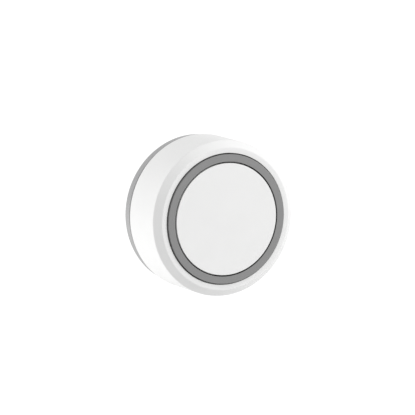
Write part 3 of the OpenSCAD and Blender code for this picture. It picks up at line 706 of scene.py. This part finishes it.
def split_copy(node, radius, cuts):
    """An eased copy that is split by planes, each given by its axis and place, to take several materials."""
    piece = eased_copy(node, radius)
    bm = bmesh.new()
    bm.from_mesh(piece.data)
    for axis, place in cuts:
        bmesh.ops.bisect_plane(
            bm, geom=bm.verts[:] + bm.edges[:] + bm.faces[:], dist=WELD, plane_co=axis * place, plane_no=axis
        )
    bm.to_mesh(piece.data)
    bm.free()
    return piece


chip_middle = (chip_low + chip_high) / 2
chip_foot = -chip_high.y
pad_edges = [k * PAD_PITCH + side * PAD_W / 2 for k in range(-LAST_PAD, LAST_PAD + 1) for side in (-1, 1)]
chip_cuts = [(axis, axis.dot(chip_middle) + edge) for axis in (ACROSS, UP) for edge in pad_edges]
chip_cuts.append((OUT_OF_WALL, chip_foot + PAD_H))
chip = split_copy("transmitter_chip", CHIP_EASE, chip_cuts)
for face in chip.data.polygons:
    along = UP if abs(face.normal.x) > abs(face.normal.z) else ACROSS
    steps = along.dot(face.center - chip_middle) / PAD_PITCH
    nearest = round(steps)
    on_pad = abs(nearest) <= LAST_PAD and abs(steps - nearest) * PAD_PITCH < PAD_W / 2
    if on_pad and abs(face.normal.y) < SIDE_FACE_LIMIT and -face.center.y < chip_foot + PAD_H:
        face.material_index = 1
tin = plated_metal("tin_plate", TIN, roughness=0.36)
dress(chip, [black_plastic, tin], "housing", "transmitter_chip")
dress(eased_copy("crystal", CRYSTAL_EASE), [nickel_steel], "housing", "crystal")

# Capacitor: a tantalum block moulded in yellow resin, with a brown band at its positive end. It is soldered
# to the board by a tinned tab that is folded under each end.
capacitor_low, capacitor_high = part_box("capacitor")
CAPACITOR_TAB = 0.24 * MM
CAPACITOR_BAND = 0.6 * MM
CAPACITOR_EASE = 0.1 * MM
RESIN_YELLOW = (0.62, 0.36, 0.06)
BAND_BROWN = (0.16, 0.07, 0.02)

body_end = capacitor_low.x + CAPACITOR_TAB
other_end = capacitor_high.x - CAPACITOR_TAB
capacitor = split_copy("capacitor", CAPACITOR_EASE, [(ACROSS, body_end + CAPACITOR_BAND)])
for face in capacitor.data.polygons:
    if not body_end - WELD < face.center.x < other_end + WELD:
        face.material_index = 2
    elif face.center.x < body_end + CAPACITOR_BAND:
        face.material_index = 1
yellow_resin = moulded_plastic("yellow_resin", RESIN_YELLOW, roughness=0.4)
brown_band = moulded_plastic("brown_band", BAND_BROWN, roughness=0.4)
dress(capacitor, [yellow_resin, brown_band, tin], "housing", "capacitor")

# Resistors: six small ceramic chips in rows, black glass on top and tinned at both ends where they are
# soldered to the board.
resistors_low, resistors_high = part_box("chip_resistors")
RESISTOR_L = 1.6 * MM
RESISTOR_END = 0.3 * MM
RESISTOR_EASE = 0.05 * MM

resistor_starts = (resistors_low.x, resistors_high.x - RESISTOR_L)
end_cuts = [(ACROSS, x + end) for x in resistor_starts for end in (RESISTOR_END, RESISTOR_L - RESISTOR_END)]
resistors = split_copy("chip_resistors", RESISTOR_EASE, end_cuts)
for face in resistors.data.polygons:
    start = max(x for x in resistor_starts if x - WELD < face.center.x)
    if not RESISTOR_END < face.center.x - start < RESISTOR_L - RESISTOR_END:
        face.material_index = 1
dress(resistors, [black_plastic, tin], "housing", "chip_resistors")

# Antenna: a bare wire of plated brass that is bent to run round the board. It stands on three posts, which
# are soldered to the board.
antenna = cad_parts["antenna_wire"]
antenna.material_slots[0].material = brass

# Switch: a tactile switch under the dome. Its case and stem are black plastic, a nickel-plated steel
# plate keeps the stem in, and four tinned leads hold it to the board.
SWITCH_EASE = 0.1 * MM
SHEET_EASE = 0.05 * MM
STEM_EASE = 0.06 * MM

dress(eased_copy("switch_body", SWITCH_EASE), [black_plastic], "housing", "switch_body")
dress(eased_copy("switch_plate", SHEET_EASE), [nickel_steel], "housing", "switch_plate")
dress(eased_copy("switch_leads", SHEET_EASE), [tin], "housing", "switch_leads")
dress(eased_copy("switch_stem", STEM_EASE), [black_plastic], "stem", "switch_stem")

# Ring lights: nine white LED packages round the board, each with a lens of yellowish phosphor resin on
# its top. They are soldered to the board, one in each cell of the light frame.
_, leds_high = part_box("ring_leds")
LED_PACKAGE_H = 0.8 * MM
LED_EASE = 0.06 * MM
LED_WHITE = (0.85, 0.84, 0.8)
PHOSPHOR_YELLOW = (0.75, 0.66, 0.2)

leds = eased_copy("ring_leds", LED_EASE)
for face in leds.data.polygons:
    if -face.center.y > -leds_high.y + LED_PACKAGE_H + WELD:
        face.material_index = 1
package_white = moulded_plastic("led_package", LED_WHITE, roughness=0.45)
phosphor = moulded_plastic("led_phosphor", PHOSPHOR_YELLOW, roughness=0.25)
dress(leds, [package_white, phosphor], "housing", "ring_leds")

# Light frame: two rings and the spokes between them, moulded from white ABS. It stands on the board and
# gives each light a cell of its own, so that the ring glows evenly.
HOUSING_WHITE = (0.845, 0.845, 0.842)

white_abs = moulded_plastic("white_abs", HOUSING_WHITE, roughness=0.75)
light_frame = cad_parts["light_frame"]
light_frame.material_slots[0].material = white_abs

# Weather mat: a sheet of clear silicone that keeps the rain out behind ring and button. Its outer edge is
# clamped on the light frame, and its dome over the switch gives way under the button.
mat_low, mat_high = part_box("weather_mat")
MAT_R = mat_high.x
MAT_Z0 = -mat_high.y
DOME_Z1 = -mat_low.y
MAT_T = 0.8 * MM
DOME_FOOT_R = 9.5 * MM
DOME_TOP_R = 6 * MM
DOME_WALL = 0.8 * MM
MAT_ROUND = 0.2 * MM
SILICONE = (0.75, 0.76, 0.74)
SILICONE_CLARITY = 0.4
SILICONE_DEPTH = 1 * MM

mat_top = MAT_Z0 + MAT_T
mat = new_piece("silicone_mat", lathed([
    (0, DOME_Z1 - MAT_T, 0), (DOME_TOP_R - DOME_WALL, DOME_Z1 - MAT_T, MAT_ROUND),
    (DOME_FOOT_R - DOME_WALL, MAT_Z0, MAT_ROUND), (MAT_R, MAT_Z0, MAT_ROUND), (MAT_R, mat_top, MAT_ROUND),
    (DOME_FOOT_R, mat_top, MAT_ROUND), (DOME_TOP_R, DOME_Z1, MAT_ROUND), (0, DOME_Z1, 0)
]))
silicone = moulded_plastic("clear_silicone", SILICONE, roughness=0.55)
silicone_shader = silicone.node_tree.nodes["Principled BSDF"]
silicone_shader.inputs["Subsurface Weight"].default_value = SILICONE_CLARITY
silicone_shader.inputs["Subsurface Scale"].default_value = SILICONE_DEPTH
dress(mat, [silicone], "housing", "weather_mat")
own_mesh(mat)

# Light ring: a smoke-grey ring of translucent polycarbonate that lets the light of the LEDs out. Its
# flange sits behind the lip, and a recess behind its inner edge stops the button. Its inner walls are
# coloured dark grey as painted shade, which darkens the gap round the button.
ring_low, ring_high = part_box("light_ring")
RING_FACE = -ring_low.y
RING_REAR = -ring_high.y
RING_FLANGE_R = ring_high.x
RING_INNER_R = 20.2 * MM
RING_OUTER_R = 22.8 * MM
RING_FLANGE_TOP = 23.35 * MM
RECESS_R = 21.45 * MM
RECESS_TOP = 22.75 * MM
RING_ROUND = 0.1 * MM
SMOKE_GREY = (0.225, 0.225, 0.225)
GAP_SHADE_GREY = (0.08, 0.08, 0.08)
INNER_WALL_LIMIT = -0.5

ring = new_piece("smoke_ring", lathed([
    (RECESS_R, RING_REAR, 0), (RING_FLANGE_R, RING_REAR, 0), (RING_FLANGE_R, RING_FLANGE_TOP, 0),
    (RING_OUTER_R, RING_FLANGE_TOP, 0), (RING_OUTER_R, RING_FACE, RING_ROUND),
    (RING_INNER_R, RING_FACE, RING_ROUND), (RING_INNER_R, RECESS_TOP, 0), (RECESS_R, RECESS_TOP, 0)
]))
# The walls that face the axis take the dark grey painted shade of the gap round the button.
for face in ring.data.polygons:
    if face.normal.xz.dot(face.center.xz.normalized()) < INNER_WALL_LIMIT:
        face.material_index = 1
smoke = moulded_plastic("smoke_polycarbonate", SMOKE_GREY, roughness=0.35)
painted_gap_shade = moulded_plastic("painted_gap_shade", GAP_SHADE_GREY, roughness=0.6)
dress(ring, [smoke, painted_gap_shade], "housing", "light_ring")

# Push button: the flat white disc that is pressed. It is moulded ABS, a face on a skirt whose flange is
# kept behind the light ring, with a ribbed post behind its middle that presses the dome.
button_low, button_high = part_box("push_button")
BUTTON_FACE = -button_low.y
BUTTON_REAR = -button_high.y
BUTTON_FLANGE_R = button_high.x
BUTTON_R = 19.7 * MM
BUTTON_FACE_T = 2 * MM
BUTTON_SKIRT_R = 18 * MM
BUTTON_FLANGE_T = 1 * MM
BUTTON_ROUND = 0.1 * MM
POST_R = 3.5 * MM
POST_END = 22.95 * MM
POST_ROUND = 0.2 * MM
BUTTON_RIBS = 6
BUTTON_RIB_T = 1.2 * MM
BUTTON_RIB_H = 0.9 * MM

face_back = BUTTON_FACE - BUTTON_FACE_T
flange_top = BUTTON_REAR + BUTTON_FLANGE_T
button = new_piece("button", lathed([
    (0, POST_END, 0), (POST_R, POST_END, POST_ROUND), (POST_R, face_back, POST_ROUND),
    (BUTTON_SKIRT_R, face_back, POST_ROUND), (BUTTON_SKIRT_R, BUTTON_REAR, 0),
    (BUTTON_FLANGE_R, BUTTON_REAR, 0), (BUTTON_FLANGE_R, flange_top, 0), (BUTTON_R, flange_top, 0),
    (BUTTON_R, BUTTON_FACE, BUTTON_ROUND), (0, BUTTON_FACE, 0)
]))
for k in range(BUTTON_RIBS):
    rib = block(
        (POST_R - JOIN, -BUTTON_RIB_T / 2, face_back - BUTTON_RIB_H),
        (BUTTON_SKIRT_R + JOIN, BUTTON_RIB_T / 2, face_back + JOIN),
    )
    combine(button, "UNION", turned_by(rib, k * 360 / BUTTON_RIBS))
dress(button, [white_abs], "button", "push_button")

# Housing: the white shell that is seen from the front. It is moulded ABS with a sloping front edge, a
# flat lip round the light ring, and three bosses inside for the screws of the rear cover.
housing_low, housing_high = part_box("front_housing")
HOUSING_R = housing_high.x
HOUSING_REAR = -housing_high.y
LIP_H = -housing_low.y
HOUSING_WALL = 2 * MM
LIP_T = 2.2 * MM
LIP_R = 23.2 * MM
SLOPE_W = 2.4 * MM
SLOPE_H = 2.2 * MM
SLOPE_ROUND = 0.5 * MM
REAR_ROUND = 0.15 * MM
LIP_ROUND = 0.1 * MM
BOSS_R = 2.2 * MM
BOSS_Z0 = 8.65 * MM
BOSS_Z1 = 19.95 * MM
BOSS_RIB_T = 2.4 * MM
PILOT_R = 1.15 * MM
PILOT_SPARE = 0.5 * MM
PILOT_END = SCREW_TIP_Z + PILOT_SPARE

housing = new_piece("housing", lathed([
    (HOUSING_R - HOUSING_WALL, HOUSING_REAR, 0), (HOUSING_R, HOUSING_REAR, REAR_ROUND),
    (HOUSING_R, LIP_H - SLOPE_H, SLOPE_ROUND), (HOUSING_R - SLOPE_W, LIP_H, SLOPE_ROUND),
    (LIP_R, LIP_H, LIP_ROUND), (LIP_R, LIP_H - LIP_T, 0), (HOUSING_R - HOUSING_WALL, LIP_H - LIP_T, 0)
]))
boss = lathed(
    [(0, BOSS_Z0, 0), (BOSS_R, BOSS_Z0, 0), (BOSS_R, BOSS_Z1, 0), (0, BOSS_Z1, 0)],
    steps=SMALL_STEPS,
)
boss_rib = block(
    (PILOT_R, -BOSS_RIB_T / 2, BOSS_Z0 + SET_BACK),
    (HOUSING_R - HOUSING_WALL / 2 - SCREW_CIRCLE_R, BOSS_RIB_T / 2, BOSS_Z1 - SET_BACK),
)
pilot = lathed(
    [(0, BOSS_Z0 - JOIN, 0), (PILOT_R, BOSS_Z0 - JOIN, 0), (PILOT_R, PILOT_END, 0), (0, PILOT_END, 0)],
    steps=SMALL_STEPS,
)
combine(housing, "UNION", at_screws(boss, SCREW_CIRCLE_R), at_screws(boss_rib, SCREW_CIRCLE_R))
combine(housing, "DIFFERENCE", at_screws(pilot, SCREW_CIRCLE_R))
dress(housing, [white_abs], "housing", "front_housing")

# Studio: a pale floor well below the object, four soft lights round it and a white background, which is
# seen a little over white so that it stays clean.
FLOOR_Z = -0.45
FLOOR_R = 0.6
FLOOR_STEPS = 64
FLOOR_PAINT = (0.8, 0.8, 0.8)
AMBIENT = 0.64
BACKGROUND = 1.1
LAMP_DISTANCE = 1.0
LAMP_SIZE = 0.6

floor_mesh = bmesh.new()
bmesh.ops.create_circle(floor_mesh, cap_ends=True, segments=FLOOR_STEPS, radius=FLOOR_R)
bmesh.ops.translate(floor_mesh, verts=floor_mesh.verts, vec=(0, 0, FLOOR_Z))
floor = new_piece("studio_floor", floor_mesh)
floor.data.materials.append(moulded_plastic("floor_paint", FLOOR_PAINT, roughness=0.7))

world = bpy.data.worlds.new("studio")
bpy.context.scene.world = world
world.use_nodes = True
sky = world.node_tree.nodes
background = sky["Background"]
background.inputs["Color"].default_value = (1, 1, 1, 1)
rays = sky.new("ShaderNodeLightPath")
seen = sky.new("ShaderNodeMath")
seen.operation = "MAXIMUM"
seen_or_through = sky.new("ShaderNodeMath")
seen_or_through.operation = "MAXIMUM"
level = sky.new("ShaderNodeMapRange")
level.inputs["To Min"].default_value = AMBIENT
level.inputs["To Max"].default_value = BACKGROUND
wires = world.node_tree.links
wires.new(rays.outputs["Is Camera Ray"], seen.inputs[0])
wires.new(rays.outputs["Is Glossy Ray"], seen.inputs[1])
wires.new(seen.outputs[0], seen_or_through.inputs[0])
wires.new(rays.outputs["Is Transmission Ray"], seen_or_through.inputs[1])
wires.new(seen_or_through.outputs[0], level.inputs["Value"])
wires.new(level.outputs["Result"], background.inputs["Strength"])


def soft_box(name, direction, power):
    """A square soft light that faces the object from a direction."""
    lamp = bpy.data.lights.new(name, "AREA")
    lamp.size = LAMP_SIZE
    lamp.energy = power
    lamp_object = bpy.data.objects.new(name, lamp)
    lamp_object.location = Vector(direction).normalized() * LAMP_DISTANCE
    lamp_object.rotation_mode = "QUATERNION"
    lamp_object.rotation_quaternion = Vector(direction).to_track_quat("Z", "Y")
    bpy.context.scene.collection.objects.link(lamp_object)


soft_box("right_light", direction=(0.8, -0.6, 0), power=3.0)
soft_box("left_light", direction=(-0.8, 0.55, -0.3), power=6.0)
soft_box("top_light", direction=(0, -0.2, 1), power=2.0)
soft_box("front_light", direction=(0.6, -0.8, 0.7), power=2.1)

# Camera: a long lens from the left and a little above, at the photograph's viewing angle.
CAMERA_TURN = math.radians(28.41)
CAMERA_LIFT = math.radians(9.05)
CAMERA_DISTANCE = 50.35 * HOUSING_R
LIP_CENTRE = Vector((0, -LIP_H, 0))
FRAME_SHIFT_RIGHT = -0.2308 * HOUSING_R
FRAME_SHIFT_UP = 0.1456 * HOUSING_R
LENS = 344.9
SENSOR_W = 36

view_right = Vector((math.cos(CAMERA_TURN), -math.sin(CAMERA_TURN), 0))
view_back = Vector((
    -math.sin(CAMERA_TURN) * math.cos(CAMERA_LIFT), -math.cos(CAMERA_TURN) * math.cos(CAMERA_LIFT),
    math.sin(CAMERA_LIFT)
))
view_up = view_back.cross(view_right)
camera_data = bpy.data.cameras.new("camera")
camera_data.lens = LENS
camera_data.sensor_width = SENSOR_W
camera = bpy.data.objects.new("camera", camera_data)
camera.location = (
    LIP_CENTRE + view_back * CAMERA_DISTANCE + view_right * FRAME_SHIFT_RIGHT + view_up * FRAME_SHIFT_UP
)
camera.rotation_mode = "QUATERNION"
camera.rotation_quaternion = Matrix((view_right, view_up, view_back)).transposed().to_quaternion()
bpy.context.scene.collection.objects.link(camera)
bpy.context.scene.camera = camera
bpy.context.scene.view_settings.view_transform = "Standard"
